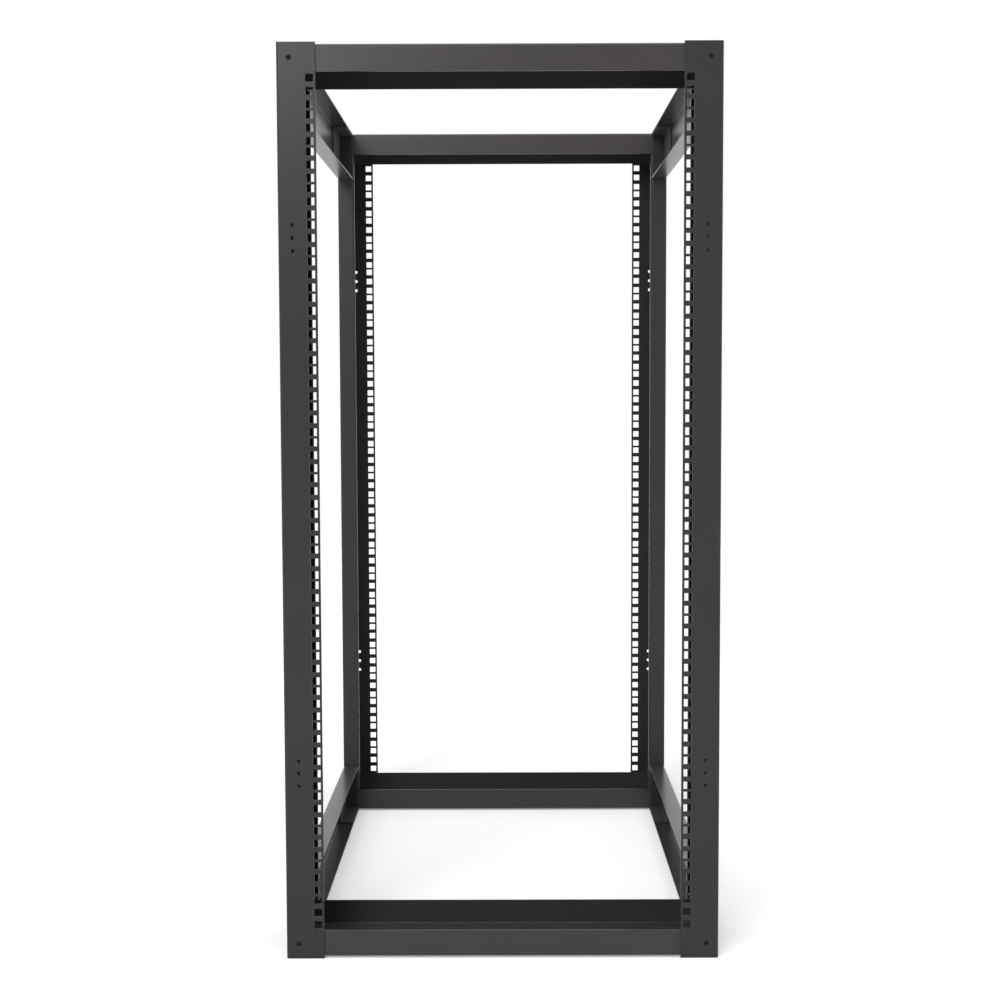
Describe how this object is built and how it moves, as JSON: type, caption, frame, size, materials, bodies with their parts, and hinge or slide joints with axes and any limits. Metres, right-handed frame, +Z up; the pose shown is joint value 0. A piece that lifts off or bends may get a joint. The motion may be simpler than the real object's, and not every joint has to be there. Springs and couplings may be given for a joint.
{
  "type": "four post open frame server rack",
  "caption": "Open steel frame for 19 inch equipment: folded posts with square holes front and rear, joined by channel rails at top and bottom.",
  "frame": {"origin": "centre of the footprint, on the floor", "axes": "+Z up, +Y from the front of the rack to the rear, +X to the right when facing the front"},
  "size_m": [0.546, 0.889, 1.1404],
  "materials": {
    "powder_coated_steel": "semi-gloss charcoal black powder coat"
  },
  "bodies": {
    "root": {"front_left_post": "powder_coated_steel", "front_right_post": "powder_coated_steel", "rear_left_post": "powder_coated_steel", "rear_right_post": "powder_coated_steel", "front_bottom_rail": "powder_coated_steel", "front_top_rail": "powder_coated_steel", "rear_bottom_rail": "powder_coated_steel", "rear_top_rail": "powder_coated_steel", "left_bottom_side_rail": "powder_coated_steel", "left_top_side_rail": "powder_coated_steel", "right_bottom_side_rail": "powder_coated_steel", "right_top_side_rail": "powder_coated_steel", "front_left_bottom_connector": "powder_coated_steel", "front_left_top_connector": "powder_coated_steel", "front_right_bottom_connector": "powder_coated_steel", "front_right_top_connector": "powder_coated_steel", "rear_left_bottom_connector": "powder_coated_steel", "rear_left_top_connector": "powder_coated_steel", "rear_right_bottom_connector": "powder_coated_steel", "rear_right_top_connector": "powder_coated_steel"}
  },
  "joints": []
}
